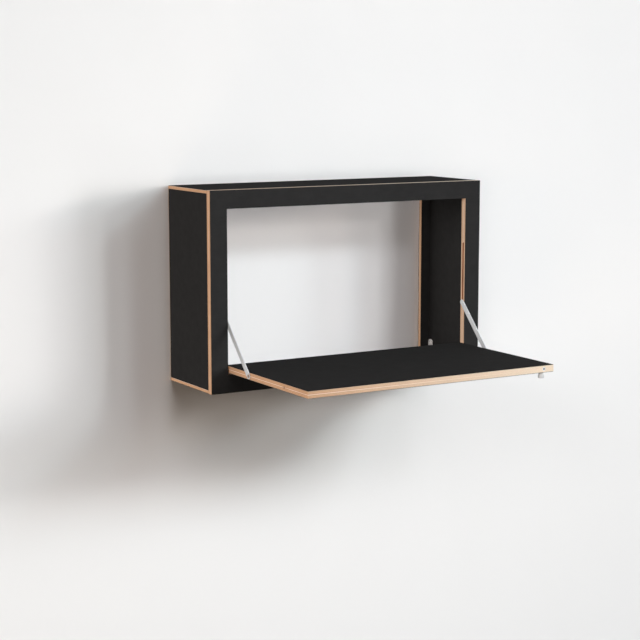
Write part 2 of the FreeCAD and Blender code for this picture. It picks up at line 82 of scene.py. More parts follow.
# Side lamps, placed as the far ones: they light the desk's flanks and spare the wall
SIDE_LAMPS = {
    "left_side": dict(azimuth=-78.0, elevation=10.0, spread=12.0, share=0.062, colour=(1.0, 0.96, 0.93)),
    "inner_side": dict(azimuth=-58.0, elevation=10.0, spread=16.0, share=0.098, colour=(1.0, 0.98, 0.97)),
}

# Sky: its light in front and behind, the span over which it turns, and the background that shows
SKY_FRONT_COLOUR = (1.0, 0.79, 0.65, 1.0)
SKY_BEHIND_COLOUR = (1.0, 0.97, 0.95, 1.0)
SKY_FRONT = 0.04
SKY_BEHIND = 0.85
SKY_TURN = (-0.2, 0.5)
BACKGROUND_COLOUR = (0.88, 0.88, 0.885, 1.0)

# Wall and floor
WALL_GAP = 0.002
SHEET_REACH = 6.0
SHEET_COLOUR = (0.88, 0.88, 0.88, 1.0)
FLOOR_DROP = 1.3
FLOOR_GLOW_SHARE = 0.5

# Colours of the plywood
PALE_VENEER = (0.80, 0.61, 0.475, 1.0)
TAN_VENEER = (0.645, 0.39, 0.235, 1.0)
CROSS_VENEER = (0.47, 0.265, 0.15, 1.0)
GLUE_LINE = (0.27, 0.14, 0.08, 1.0)
# Painted highlight: paler colour for an edge where the light falls on it
PAINTED_HIGHLIGHT_EDGE = (0.88, 0.74, 0.58, 1.0)
# Painted sheen: greyish colour over the frame's top edge where the light grazes it
PAINTED_SHEEN_EDGE = (0.78, 0.73, 0.67, 1.0)
# Groove colour: routed wood's colour with painted shade in the recess
ROUTED_WOOD_AND_SHADE = (0.78, 0.50, 0.40, 1.0)
FILM_DARK = (0.0229, 0.0227, 0.0229, 1.0)
FILM_LIGHT = (0.0273, 0.0271, 0.0271, 1.0)

# Veneers and glue lines on a board's edge
VENEER_THICKNESS = 1.85
LAYER_WANDER = 0.5
WANDER_SCALE = 0.018
GLUE_SEAM = (0.03, 0.13)
GLUE_SHARE = 0.6
FIBRE_STRETCH = (0.045, 0.045, 4.5)
PORE_STRETCH = (2.2, 2.2, 3.0)
LAYER_TONE_SHARE = 0.55
LONG_GRAIN_SPAN = (0.25, 0.75)
END_GRAIN_SPAN = (0.38, 0.68)
END_GRAIN_SHARES = (0.25, 0.95)
PATCH_SCALE = 0.022
PATCH_SPAN = (0.45, 0.75)
PATCH_SHARE = 0.35
FIBRE_RELIEF = 0.5
EDGE_RELIEF = 0.06 * MM
WOOD_ROUGHNESS = 0.68

# Painted highlights on edges and round the frame's opening, painted sheen on its top edge, and routed colour
# with painted shade in the stay's groove
FRAME_BORDER = 46.0
PAINTED_HIGHLIGHT_SHARE = 0.65
PAINTED_HIGHLIGHT_MIDDLE = 0.8
PAINTED_HIGHLIGHT_RISE = 0.0021
PAINTED_HIGHLIGHT_FADE = (0.4, 0.9)
PAINTED_SHEEN_SHARE = 0.4
# Share of the painted highlight on the rim round the frame's opening
RIM_PAINTED_HIGHLIGHT_SHARE = 0.4
RIM_FADE = (0.3, 0.6)
GROOVE_START = (0.5, 1.2)
GROOVE_END = (9.0, 9.5)

# Border between the veneers and the film
FILM_BORDER = 0.90
FILM_SHIFT = 0.12
FILM_STEP = (-0.02, 0.03)
CHIP_SCALE = 0.9
CHIP_SPAN = (0.5, 0.8)
CHIP_REACH = 0.16

# Film on a board's faces
MOTTLE_SCALE = 0.05
PEEL_SCALE = 0.7
FILM_GRAIN_STRETCH = (0.02, 0.55, 0.55)
FILM_GRAIN_SHARE = 0.45
FILM_GRAIN_RELIEF = 0.6
FILM_TONE_SPAN = (0.3, 0.7)
FILM_GLOSS_SPAN = (0.25, 0.75)
FILM_ROUGHNESS = 0.68
FILM_ROUGHNESS_SWING = 0.04
FILM_SPECULAR = 0.0006
FILM_MARK_SIZE = 90.0
FILM_MARK_GLOSS = -0.05

# Lines and smudges on metal
LINE_SPAN = (0.3, 0.7)
BRUSH_LENGTH = 22.0
BRUSH_FINENESS = 5.0
BRUSH_BROAD_SCALE = 0.35
BRUSH_FINE_SHARE = 0.6
BRUSH_MARK_SIZE = 14.0
BRUSH_RELIEF = 0.006 * MM
LATHE_FINENESS = 7.0
LATHE_BROAD_SCALE = 0.9
LATHE_FINE_SHARE = 0.65
LATHE_MARK_SIZE = 6.0
LATHE_RELIEF = 0.005 * MM
SMUDGE_SPAN = (0.52, 0.72)
SMUDGE_ROUGHNESS = 0.08

# Metals: the colours of their dark and light lines
STAY_STEEL = ((0.62, 0.64, 0.66, 1.0), (0.76, 0.78, 0.805, 1.0))
# Dark tan colour of the stays' pivot screws
DARK_TAN_STEEL = ((0.30, 0.20, 0.13, 1.0), (0.42, 0.29, 0.20, 1.0))
PLATE_STEEL = ((0.42, 0.42, 0.415, 1.0), (0.56, 0.56, 0.555, 1.0))
# Painted shade: dark colour on the latch bolt, standing for the shade in its bore
BORE_SHADE_STEEL = ((0.09, 0.092, 0.09, 1.0), (0.15, 0.152, 0.148, 1.0))
ZINC = ((0.88, 0.88, 0.88, 1.0), (0.95, 0.95, 0.94, 1.0))
ALUMINIUM = ((0.42, 0.42, 0.42, 1.0), (0.55, 0.55, 0.545, 1.0))

# Finishes of the metals
STAY_FINISH = dict(colours=STAY_STEEL, rough_span=(0.36, 0.48), metallic=0.4)
TURNED_FINISH = dict(colours=STAY_STEEL, rough_span=(0.26, 0.38), metallic=0.9)
FERRULE_FINISH = dict(colours=STAY_STEEL, rough_span=(0.36, 0.48), metallic=0.6)
# Pivot screws in a dark tan colour
DARK_TAN_FINISH = dict(colours=DARK_TAN_STEEL, rough_span=(0.4, 0.52), metallic=0.5)
PLATE_FINISH = dict(colours=PLATE_STEEL, rough_span=(0.4, 0.52), metallic=0.7)
# Latch bolt made dark as painted shade for its bore
BOLT_SHADE_FINISH = dict(colours=BORE_SHADE_STEEL, rough_span=(0.4, 0.5), metallic=0.9)
ZINC_FINISH = dict(colours=ZINC, rough_span=(0.42, 0.55), metallic=0.12)
KNOB_FINISH = dict(colours=ALUMINIUM, rough_span=(0.42, 0.54), metallic=0.4)

# Nylon
NYLON = ((0.70, 0.69, 0.64, 1.0), (0.80, 0.79, 0.75, 1.0))
NYLON_FINENESS = 2.5
NYLON_CLOUD_SCALE = 0.4
NYLON_ROUGHNESS = (0.36, 0.48)
NYLON_RELIEF = 0.01 * MM
NYLON_SUBSURFACE = 0.15
NYLON_DEPTH = 1.0 * MM

# Beech of the dowels
BEECH = ((0.52, 0.33, 0.18, 1.0), (0.68, 0.47, 0.29, 1.0))
BEECH_FIBRE_SCALE = 1.4
BEECH_FIBRE_SPAN = (0.3, 0.7)
BEECH_ROUGHNESS = (0.62, 0.74)
BEECH_RELIEF = 0.03 * MM
FLECK_STRETCH = (1.0, 3.0, 1.0)
FLECK_SCALE = 1.1
FLECK_SPAN = (0.62, 0.72)
FLECK_SHARE = 0.6

# Screws: sizes of their bodies, with the step between the rows of a head's surface
BRACE_SCREW = dict(radius=3.25 * MM, height=1.8 * MM, shank=1.5 * MM, length=8.0 * MM, step=0.1 * MM)
PIVOT_SCREW = dict(radius=4.3 * MM, height=0.8 * MM, shoulder=2.5 * MM, shank=2.0 * MM, step=0.12 * MM)
COVER_SCREW = dict(radius=2.5 * MM, shank=1.25 * MM, length=8.0 * MM, step=0.08 * MM)
GRUB_STEP = 0.06 * MM
BRACE_THICKNESS = 2.0 * MM
BRACE_HOLE_PITCH = 15.0 * MM
COVER_SCREW_SPACING = 24.0 * MM
CROWN_BEND = (0.06, 0.5)
CROWN_POINTS = 14
CROWN_RIM = 0.3
TIP_SHARE = 0.2
EASE = 0.1 * MM
POLE_RADIUS = 0.05 * MM

# Recesses of the screws: a cross in the brace and cover screws, a hexagon in the pivot and grub screws
BRACE_CROSS = dict(arm=1.9 * MM, half_width=0.42 * MM, depth=0.95 * MM)
COVER_CROSS = dict(arm=1.55 * MM, half_width=0.34 * MM, depth=0.8 * MM)
PIVOT_SOCKET = dict(half_flats=1.5 * MM, depth=0.9 * MM)
GRUB_SOCKET = dict(half_flats=0.75 * MM, depth=0.9 * MM)
SLOT_END = 0.55
SLOT_SIDES = (0.7, 1.2)
SOCKET_SIDES = (0.94, 1.04)

# Threads: pitch and depth
WOOD_THREAD = (1.2 * MM, 0.3 * MM)
FINE_THREAD = (0.5 * MM, 0.14 * MM)
ROWS_PER_PITCH = 8
ROUND_STEPS = 96
SHARP_ANGLE = math.radians(38)

# Axes, turns and sockets
X_AXIS, Y_AXIS, Z_AXIS = range(3)
ORIGIN = (0.0, 0.0, 0.0)
NO_TURN = (0.0, 0.0, 0.0)
TURN_TO_THIRD = ((0.0, -math.pi / 2, 0.0), (math.pi / 2, 0.0, 0.0), NO_TURN)
FLATTEN = (1.0, 1.0, 0.0)
VALUE = "NodeSocketFloat"
COLOUR = "NodeSocketColor"
VECTOR = "NodeSocketVector"
VALUE_A, VALUE_B = 2, 3
COLOUR_A, COLOUR_B, COLOUR_OUT = 6, 7, 2


# Node helpers

def feed(tree, node, values):
    """Give a node's inputs their values, or link them to the sockets given instead."""
    for key, value in values.items():
        if isinstance(value, bpy.types.NodeSocket):
            tree.links.new(value, node.inputs[key])
        else:
            node.inputs[key].default_value = value


def add_node(tree, kind, inputs=None, **settings):
    """New shader node with its settings, and its inputs given as values or as sockets to link."""
    made = tree.nodes.new(kind)
    for name, value in settings.items():
        setattr(made, name, value)
    feed(tree, made, inputs or {})
    return made


def maths(tree, operation, first, second=0.0, third=0.0):
    """Value of an operation on one to three values."""
    inputs = {0: first, 1: second, 2: third}
    return add_node(tree, "ShaderNodeMath", inputs, operation=operation).outputs[0]


def weighted(tree, share, first, second):
    """Sum of two values, the first by its share and the second by the rest."""
    return maths(tree, "MULTIPLY_ADD", first, share, maths(tree, "MULTIPLY", second, 1.0 - share))


def between(tree, share, first, second=0.0):
    """Value between two values."""
    return add_node(tree, "ShaderNodeMix", {0: share, VALUE_A: first, VALUE_B: second}).outputs[0]


def blended(tree, share, first, second, blend="MIX"):
    """Colour between two colours."""
    inputs = {0: share, COLOUR_A: first, COLOUR_B: second}
    made = add_node(tree, "ShaderNodeMix", inputs, data_type="RGBA", blend_type=blend)
    return made.outputs[COLOUR_OUT]


def ramped(tree, value, start, end, low=0.0, high=1.0):
    """Smooth step of a value from start to end, carried to the span from low to high."""
    inputs = {"Value": value, "From Min": start, "From Max": end, "To Min": low, "To Max": high}
    return add_node(tree, "ShaderNodeMapRange", inputs, interpolation_type="SMOOTHSTEP").outputs[0]


def fading(tree, value, start, end):
    """Smooth step down from 1 at start to 0 at end."""
    return ramped(tree, value, start, end, 1.0, 0.0)


def shifted(span, distance):
    """Both ends of a span, moved by a distance."""
    return span[0] + distance, span[1] + distance


def vector_maths(tree, operation, first, second):
    """Vector of an operation on two vectors."""
    return add_node(tree, "ShaderNodeVectorMath", {0: first, 1: second}, operation=operation).outputs[0]


def stretched(tree, vector, scale):
    """Vector with each coordinate times its own scale."""
    return vector_maths(tree, "MULTIPLY", vector, scale)


def cloudy(tree, vector, scale, detail=3.0, roughness=0.55):
    """Soft noise from 0 to 1."""
    inputs = {"Vector": vector, "Scale": scale, "Detail": detail, "Roughness": roughness}
    return add_node(tree, "ShaderNodeTexNoise", inputs).outputs[0]


def parted(tree, vector):
    """The three coordinates of a vector."""
    return add_node(tree, "ShaderNodeSeparateXYZ", {0: vector}).outputs


def new_group(name, inputs, outputs):
    """Empty node group with its sockets; returns the tree, its input sockets and its output node."""
    tree = bpy.data.node_groups.new(name, "ShaderNodeTree")
    for label, kind in inputs.items():
        tree.interface.new_socket(label, in_out="INPUT", socket_type=kind)
    for label, kind in outputs.items():
        tree.interface.new_socket(label, in_out="OUTPUT", socket_type=kind)
    given = tree.nodes.new("NodeGroupInput").outputs
    result = tree.nodes.new("NodeGroupOutput")
    return tree, given, result


def use_group(tree, group, inputs):
    """Outputs of a node group placed in a material."""
    return add_node(tree, "ShaderNodeGroup", inputs, node_tree=group).outputs


# Effects shared by several materials

def veneer_layers(tree, given, depth):
    """Number of the veneer at a depth, wandering a little along the board, and a mask of the glue lines."""
    wander = cloudy(tree, stretched(tree, given["Board"], FLATTEN), WANDER_SCALE, detail=2.0)
    lowered = maths(tree, "SUBTRACT", depth, LAYER_WANDER / 2)
    moved = maths(tree, "MULTIPLY_ADD", wander, LAYER_WANDER, lowered)
    share = maths(tree, "ADD", maths(tree, "DIVIDE", moved, given["Thickness"]), 0.5)
    place = maths(tree, "MULTIPLY", share, given["Veneers"])
    within = maths(tree, "FRACT", place)
    seam = maths(tree, "MINIMUM", within, maths(tree, "SUBTRACT", 1.0, within))
    return maths(tree, "FLOOR", place), fading(tree, seam, *GLUE_SEAM)


def film_border(tree, given, depth):
    """Mask that is 1 on the film of a board's faces and 0 on its veneers, with a chipped border."""
    chips = cloudy(tree, given["Board"], CHIP_SCALE, detail=3.0)
    reach = maths(tree, "SUBTRACT", maths(tree, "MULTIPLY", given["Thickness"], 0.5), FILM_BORDER)
    border = maths(tree, "MULTIPLY_ADD", ramped(tree, chips, *CHIP_SPAN), CHIP_REACH, reach)
    centred = maths(tree, "SUBTRACT", depth, FILM_SHIFT)
    past = maths(tree, "SUBTRACT", maths(tree, "ABSOLUTE", centred), border)
    return ramped(tree, past, *FILM_STEP)


def plywood_edge_group():
    """Veneers on a board's edge: layers by depth, alternating grain, glue lines and a ragged film border."""
    inputs = {"Board": VECTOR, "Thickness": VALUE, "Veneers": VALUE, "Painted Highlight": VALUE}
    outputs = {"Wood": COLOUR, "Film": VALUE, "Relief": VALUE}
    tree, given, result = new_group("plywood_edge", inputs, outputs)
    board = given["Board"]
    depth = parted(tree, board)[2]
    layer, glue = veneer_layers(tree, given, depth)
    crossed = maths(tree, "PINGPONG", layer, 1.0)
    tone = add_node(tree, "ShaderNodeTexWhiteNoise", {"W": layer}, noise_dimensions="1D").outputs[0]
    fibres = cloudy(tree, stretched(tree, board, FIBRE_STRETCH), 1.0, detail=4.0)
    pores = cloudy(tree, stretched(tree, board, PORE_STRETCH), 1.0, detail=2.0)
    patches = cloudy(tree, board, PATCH_SCALE, detail=2.0)
    long_tone = weighted(tree, LAYER_TONE_SHARE, tone, fibres)
    long_grain = blended(tree, ramped(tree, long_tone, *LONG_GRAIN_SPAN), PALE_VENEER, TAN_VENEER)
    end_share = ramped(tree, pores, *END_GRAIN_SPAN, *END_GRAIN_SHARES)
    end_grain = blended(tree, end_share, TAN_VENEER, CROSS_VENEER)
    wood = blended(tree, crossed, long_grain, end_grain)
    wood = blended(tree, ramped(tree, patches, *PATCH_SPAN, 0.0, PATCH_SHARE), wood, CROSS_VENEER)
    # Painted highlight: the edge turns paler where the light falls on it
    wood = blended(tree, maths(tree, "MULTIPLY", given["Painted Highlight"], PAINTED_HIGHLIGHT_SHARE), wood, PAINTED_HIGHLIGHT_EDGE)
    wood = blended(tree, maths(tree, "MULTIPLY", glue, GLUE_SHARE), wood, GLUE_LINE)
    grain = maths(tree, "MULTIPLY_ADD", fibres, FIBRE_RELIEF, maths(tree, "MULTIPLY", pores, crossed))
    relief = maths(tree, "SUBTRACT", grain, glue)
    feed(tree, result, {"Wood": wood, "Film": film_border(tree, given, depth), "Relief": relief})
    return tree


def film_face_group():
    """Black film: faint mottling, the veneer's grain showing through, and fine rubbed streaks."""
    outputs = {"Colour": COLOUR, "Roughness": VALUE, "Relief": VALUE}
    tree, given, result = new_group("film_face", {"Board": VECTOR}, outputs)
    mottle = cloudy(tree, given["Board"], MOTTLE_SCALE, detail=4.0)
    grain = cloudy(tree, stretched(tree, given["Board"], FILM_GRAIN_STRETCH), 1.0, detail=4.0)
    peel = cloudy(tree, given["Board"], PEEL_SCALE, detail=2.0)
    share = weighted(tree, FILM_GRAIN_SHARE, grain, mottle)
    colour = blended(tree, ramped(tree, share, *FILM_TONE_SPAN), FILM_DARK, FILM_LIGHT)
    rough_span = (FILM_ROUGHNESS - FILM_ROUGHNESS_SWING, FILM_ROUGHNESS + FILM_ROUGHNESS_SWING)
    rough = ramped(tree, share, *FILM_GLOSS_SPAN, *rough_span)
    relief = weighted(tree, FILM_GRAIN_RELIEF, grain, peel)
    feed(tree, result, {"Colour": colour, "Roughness": rough, "Relief": relief})
    return tree


def brushed_lines_group():
    """Fine lines along one direction: long along the first coordinate, close across the others."""
    inputs = {"Piece": VECTOR, "Length": VALUE, "Fineness": VALUE}
    tree, given, result = new_group("brushed_lines", inputs, {"Lines": VALUE, "Relief": VALUE})
    along = maths(tree, "DIVIDE", 1.0, given["Length"])
    scales = {0: along, 1: given["Fineness"], 2: given["Fineness"]}
    scale = add_node(tree, "ShaderNodeCombineXYZ", scales).outputs[0]
    drawn = stretched(tree, given["Piece"], scale)
    broad = cloudy(tree, drawn, BRUSH_BROAD_SCALE, detail=3.0)
    fine = cloudy(tree, drawn, 1.0, detail=4.0)
    lines = weighted(tree, BRUSH_FINE_SHARE, fine, broad)
    feed(tree, result, {"Lines": ramped(tree, lines, *LINE_SPAN), "Relief": fine})
    return tree


def turned_lines_group():
    """Tool marks of a lathe: rings about the third axis, worked out from the radius and the height alone."""
    inputs = {"Piece": VECTOR, "Fineness": VALUE}
    tree, given, result = new_group("turned_lines", inputs, {"Lines": VALUE, "Relief": VALUE})
    flat = stretched(tree, given["Piece"], FLATTEN)
    radius = add_node(tree, "ShaderNodeVectorMath", {0: flat}, operation="LENGTH").outputs["Value"]
    height = parted(tree, given["Piece"])[2]
    ring = add_node(tree, "ShaderNodeCombineXYZ", {0: radius, 1: height}).outputs[0]
    fine = cloudy(tree, ring, given["Fineness"], detail=3.0)
    broad = cloudy(tree, ring, LATHE_BROAD_SCALE, detail=2.0)
    lines = weighted(tree, LATHE_FINE_SHARE, fine, broad)
    feed(tree, result, {"Lines": ramped(tree, lines, *LINE_SPAN), "Relief": fine})
    return tree


def handling_marks_group():
    """Soft smudges from hands, as a mask from 0 to 1."""
    inputs = {"Piece": VECTOR, "Size": VALUE}
    tree, given, result = new_group("handling_marks", inputs, {"Marks": VALUE})
    scale = maths(tree, "DIVIDE", 1.0, given["Size"])
    smudge = cloudy(tree, given["Piece"], scale, detail=3.0, roughness=0.6)
    feed(tree, result, {"Marks": ramped(tree, smudge, *SMUDGE_SPAN)})
    return tree


PLYWOOD_EDGE = plywood_edge_group()
FILM_FACE = film_face_group()
BRUSHED_LINES = brushed_lines_group()
TURNED_LINES = turned_lines_group()
HANDLING_MARKS = handling_marks_group()


# Materials

def middle(node):
    """Middle of a CAD node's box."""
    low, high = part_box(node)
    return (low + high) / 2


def new_material(name):
    """Material with a Principled shader; returns it, its tree, its shader and the piece's coordinates."""
    made = bpy.data.materials.new(name)
    made.use_nodes = True
    tree = made.node_tree
    shader = tree.nodes["Principled BSDF"]
    own = tree.nodes.new("ShaderNodeTexCoord").outputs["Object"]
    return made, tree, shader, own


def placed(tree, own, centre, turn):
    """Millimetres from a centre in metres, turned by Euler angles, with the third axis as the one wanted."""
    moved = vector_maths(tree, "SUBTRACT", own, tuple(centre))
    inputs = {"Vector": moved, "Rotation": turn, "Scale": (PER_METRE,) * 3}
    return add_node(tree, "ShaderNodeMapping", inputs).outputs[0]


def roughen(tree, shader, height, distance):
    """Bump from a height, in metres of relief."""
    inputs = {"Height": height, "Distance": distance, "Strength": 1.0}
    feed(tree, shader, {"Normal": add_node(tree, "ShaderNodeBump", inputs).outputs[0]})


def opening_masks(tree, across, along, opening):
    """Masks of the rim round an opening and of the groove beyond it, from half the opening's two sizes."""
    half_width, half_height = opening
    aside = maths(tree, "ABSOLUTE", across)
    within = fading(tree, maths(tree, "ABSOLUTE", along), *shifted(RIM_FADE, half_height))
    beside = fading(tree, aside, *shifted(RIM_FADE, half_width))
    past = ramped(tree, aside, *shifted(GROOVE_START, half_width))
    short = fading(tree, aside, *shifted(GROOVE_END, half_width))
    rim = maths(tree, "MULTIPLY", beside, within)
    groove = maths(tree, "MULTIPLY", maths(tree, "MULTIPLY", past, short), within)
    return rim, groove


def plywood_material(node, highlight_reach=0.0, opening=None):
    """Film-faced plywood for one board: film on its two faces, veneers on its edges and in its bores.

    A board can have a painted highlight on its edge at a reach along its second axis, paler towards the
    right where more light falls. Round an opening, given by its half width and half height, the edge carries
    the painted highlight as well, and the groove beyond it is darker: routed wood's colour with painted
    shade. On such a board the painted highlight at the reach is greyed a little by a painted sheen."""
    low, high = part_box(node)
    size = high - low
    axis = min(range(3), key=lambda index: size[index])
    thickness = size[axis] * PER_METRE
    veneers = 2 * math.floor(thickness / VENEER_THICKNESS / 2) + 1
    made, tree, shader, own = new_material("film_faced_plywood_" + node)
    board = placed(tree, own, middle(node), TURN_TO_THIRD[axis])
    inputs = {"Board": board, "Thickness": thickness, "Veneers": float(veneers)}
    across, along, _ = parted(tree, board)
    # Painted highlight along the edge at the reach, stronger towards the right where more light falls
    if highlight_reach:
        at_edge = fading(tree, along, *shifted(PAINTED_HIGHLIGHT_FADE, -highlight_reach))
        rise = maths(tree, "MULTIPLY_ADD", across, PAINTED_HIGHLIGHT_RISE, PAINTED_HIGHLIGHT_MIDDLE)
        inputs["Painted Highlight"] = maths(tree, "MULTIPLY", at_edge, rise)
    # Painted highlight on the rim round the opening, and the groove's mask
    if opening:
        rim, groove = opening_masks(tree, across, along, opening)
        inputs["Painted Highlight"] = maths(tree, "MAXIMUM", inputs["Painted Highlight"], maths(tree, "MULTIPLY", rim, RIM_PAINTED_HIGHLIGHT_SHARE))
    edge = use_group(tree, PLYWOOD_EDGE, inputs)
    face = use_group(tree, FILM_FACE, {"Board": board})
    marks = use_group(tree, HANDLING_MARKS, {"Piece": board, "Size": FILM_MARK_SIZE})
    wood = edge["Wood"]
    if opening:
        # Routed wood's colour and painted shade in the groove
        wood = blended(tree, groove, wood, ROUTED_WOOD_AND_SHADE, "MULTIPLY")
        # Painted sheen greying the edge at the reach
        wood = blended(tree, maths(tree, "MULTIPLY", at_edge, PAINTED_SHEEN_SHARE), wood, PAINTED_SHEEN_EDGE)
    colour = blended(tree, edge["Film"], wood, face["Colour"])
    satin = maths(tree, "MULTIPLY_ADD", marks["Marks"], FILM_MARK_GLOSS, face["Roughness"])
    rough = between(tree, edge["Film"], WOOD_ROUGHNESS, satin)
    feed(tree, shader, {"Base Color": colour, "Roughness": rough, "Specular IOR Level": FILM_SPECULAR})
    roughen(tree, shader, between(tree, edge["Film"], edge["Relief"]), EDGE_RELIEF)
    return made


def metal_shader(tree, shader, lines, marks, relief, colours, rough_span, metallic):
    """Metal whose colour and roughness follow fine lines and smudges; less metallic looks more matt."""
    colour = blended(tree, lines["Lines"], *colours)
    base = ramped(tree, lines["Lines"], 0.0, 1.0, *rough_span)
    rough = maths(tree, "MULTIPLY_ADD", marks["Marks"], SMUDGE_ROUGHNESS, base)
    feed(tree, shader, {"Base Color": colour, "Roughness": rough, "Metallic": metallic})
    roughen(tree, shader, lines["Relief"], relief)


def brushed_metal(name, centre, turn, finish):
    """Brushed metal with its lines along the piece's turned first axis."""
    made, tree, shader, own = new_material(name)
    piece = placed(tree, own, centre, turn)
    inputs = {"Piece": piece, "Length": BRUSH_LENGTH, "Fineness": BRUSH_FINENESS}
    lines = use_group(tree, BRUSHED_LINES, inputs)
    marks = use_group(tree, HANDLING_MARKS, {"Piece": piece, "Size": BRUSH_MARK_SIZE})
    metal_shader(tree, shader, lines, marks, BRUSH_RELIEF, **finish)
    return made


def turned_metal(name, node, axis, finish):
    """Metal turned on a lathe about an axis through the middle of a node."""
    made, tree, shader, own = new_material(name)
    piece = placed(tree, own, middle(node), TURN_TO_THIRD[axis])
    lines = use_group(tree, TURNED_LINES, {"Piece": piece, "Fineness": LATHE_FINENESS})
    marks = use_group(tree, HANDLING_MARKS, {"Piece": piece, "Size": LATHE_MARK_SIZE})
    metal_shader(tree, shader, lines, marks, LATHE_RELIEF, **finish)
    return made


def nylon_material(node, axis):
    """Natural nylon, faintly cloudy, with moulding rings."""
    made, tree, shader, own = new_material("nylon_" + node)
    piece = placed(tree, own, middle(node), TURN_TO_THIRD[axis])
    lines = use_group(tree, TURNED_LINES, {"Piece": piece, "Fineness": NYLON_FINENESS})
    cloud = cloudy(tree, piece, NYLON_CLOUD_SCALE, detail=3.0)
    rough = ramped(tree, lines["Lines"], 0.0, 1.0, *NYLON_ROUGHNESS)
    feed(tree, shader, {"Base Color": blended(tree, cloud, *NYLON), "Roughness": rough})
    feed(tree, shader, {"Subsurface Weight": NYLON_SUBSURFACE, "Subsurface Scale": NYLON_DEPTH})
    roughen(tree, shader, lines["Relief"], NYLON_RELIEF)
    return made


def beech_material():
    """Raw beech of the dowels: fine fibres with short dark flecks."""
    made, tree, shader, own = new_material("beech")
    piece = stretched(tree, own, (PER_METRE,) * 3)
    fibres = cloudy(tree, piece, BEECH_FIBRE_SCALE, detail=4.0)
    flecks = cloudy(tree, stretched(tree, piece, FLECK_STRETCH), FLECK_SCALE, detail=2.0)
    dark = ramped(tree, flecks, *FLECK_SPAN, 0.0, FLECK_SHARE)
    colour = blended(tree, dark, blended(tree, fibres, *BEECH), CROSS_VENEER)
    rough = ramped(tree, fibres, *BEECH_FIBRE_SPAN, *BEECH_ROUGHNESS)
    feed(tree, shader, {"Base Color": colour, "Roughness": rough})
    roughen(tree, shader, fibres, BEECH_RELIEF)
    return made


def give(material, *names):
    """Put a material on CAD nodes."""
    for name in names:
        slots = nodes[name].data.materials
        slots.clear()
        slots.append(material)


def pair(name):
    """Names of a left and a right node."""
    return "left_" + name, "right_" + name


def dress_boards():
    """Plywood of the case, the front frame and the flap."""
    for node in ("top_panel", "bottom_panel", *pair("side_panel"), *pair("wall_batten")):
        give(plywood_material(node), node)
    low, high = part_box("front_frame")
    side_reach = (high.x - low.x) / 2 * PER_METRE
    top_reach = (high.z - low.z) / 2 * PER_METRE
    opening = (side_reach - FRAME_BORDER, top_reach - FRAME_BORDER)
    # Painted highlight and painted sheen on the frame's top edge, painted highlight round its opening
    give(plywood_material("front_frame", top_reach, opening), "front_frame")
    low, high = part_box("flap_panel")
    front_reach = (high.y - low.y) / 2 * PER_METRE
    # Painted highlight on the flap's front edge
    give(plywood_material("flap_panel", front_reach), "flap_panel")


def dress_fittings():
    """Finish of the metal, nylon and dowel pieces."""
    low = middle("right_stay_screw")
    high = middle("right_stay_rivet")
    slope = math.atan2(high.z - low.z, high.y - low.y)
    along = (-slope, 0.0, -math.pi / 2)
    give(brushed_metal("stay_steel_bars", low, along, STAY_FINISH), *pair("stay_bar"))
    brace = brushed_metal("zinc_braces", ORIGIN, NO_TURN, ZINC_FINISH)
    give(brace, *pair("corner_brace"), "brace_screws")
    plate = brushed_metal("cover_plate_steel", middle("latch_cover_plate"), NO_TURN, PLATE_FINISH)
    give(plate, "latch_cover_plate", "latch_cover_screws", "knob_set_screw")
    for name in ("hinge_pin", "stay_rivet"):
        give(turned_metal("turned_" + name, "right_" + name, X_AXIS, TURNED_FINISH), *pair(name))
    # Pivot screws in a dark tan colour
    dark_tan = turned_metal("dark_tan_stay_screw", "right_stay_screw", X_AXIS, DARK_TAN_FINISH)
    give(dark_tan, *pair("stay_screw"))
    give(turned_metal("turned_latch_ferrule", "latch_ferrule", Y_AXIS, FERRULE_FINISH), "latch_ferrule")
    # Latch bolt in a dark colour that paints the shade in the bore
    give(turned_metal("shade_dark_latch_bolt", "latch_ferrule", Y_AXIS, BOLT_SHADE_FINISH), "latch_bolt")
    give(turned_metal("turned_strike", "strike_ferrule", Z_AXIS, TURNED_FINISH), "strike_ferrule")
    give(turned_metal("turned_spindle", "latch_knob", Z_AXIS, TURNED_FINISH), "latch_spindle")
    give(turned_metal("satin_knob", "latch_knob", Z_AXIS, KNOB_FINISH), "latch_knob")
    for name in ("hinge_bush", "stay_washer", "slide_roller"):
        give(nylon_material("right_" + name, X_AXIS), *pair(name))
    give(beech_material(), "case_dowels", "frame_dowels", "batten_dowels")


# Screws, as turned surfaces with a recess pressed into the head

def smooth(value, start, end):
    """Smooth step from 0 at start to 1 at end: 3 s squared less 2 s cubed, for the share s of the way."""
    share = np.clip((value - start) / (end - start), 0.0, 1.0)
    return share * share * (3.0 - 2.0 * share)


def cross_recess(x, y, arm, half_width, depth):
    """Depth of a cross recess: two crossed slots with sloping ends, deepest in the middle."""
    def slot(along, across):
        """Share of the depth in one slot."""
        length = 1.0 - smooth(np.abs(along), arm * SLOT_END, arm)
        width = 1.0 - smooth(np.abs(across), half_width * SLOT_SIDES[0], half_width * SLOT_SIDES[1])
        return length * width
    return depth * np.maximum(slot(x, y), slot(y, x))


def hexagon_recess(x, y, half_flats, depth):
    """Depth of a hexagon socket: full where the point lies inside all three pairs of flats."""
    angles = np.arange(3) * math.pi / 3
    across = np.abs(x[..., None] * np.cos(angles) + y[..., None] * np.sin(angles)).max(-1)
    return depth * (1.0 - smooth(across, half_flats * SOCKET_SIDES[0], half_flats * SOCKET_SIDES[1]))


def outline_rows(points, step):
    """Points along an outline of (radius, height) corners, no further apart than a step."""
    rows = [np.array(points[:1])]
    for start, end in zip(points, points[1:]):
        count = max(1, math.ceil(math.dist(start, end) / step))
        shares = np.arange(1, count + 1)[:, None] / count
        rows.append(np.array(start) + (np.array(end) - np.array(start)) * shares)
    return np.concatenate(rows)


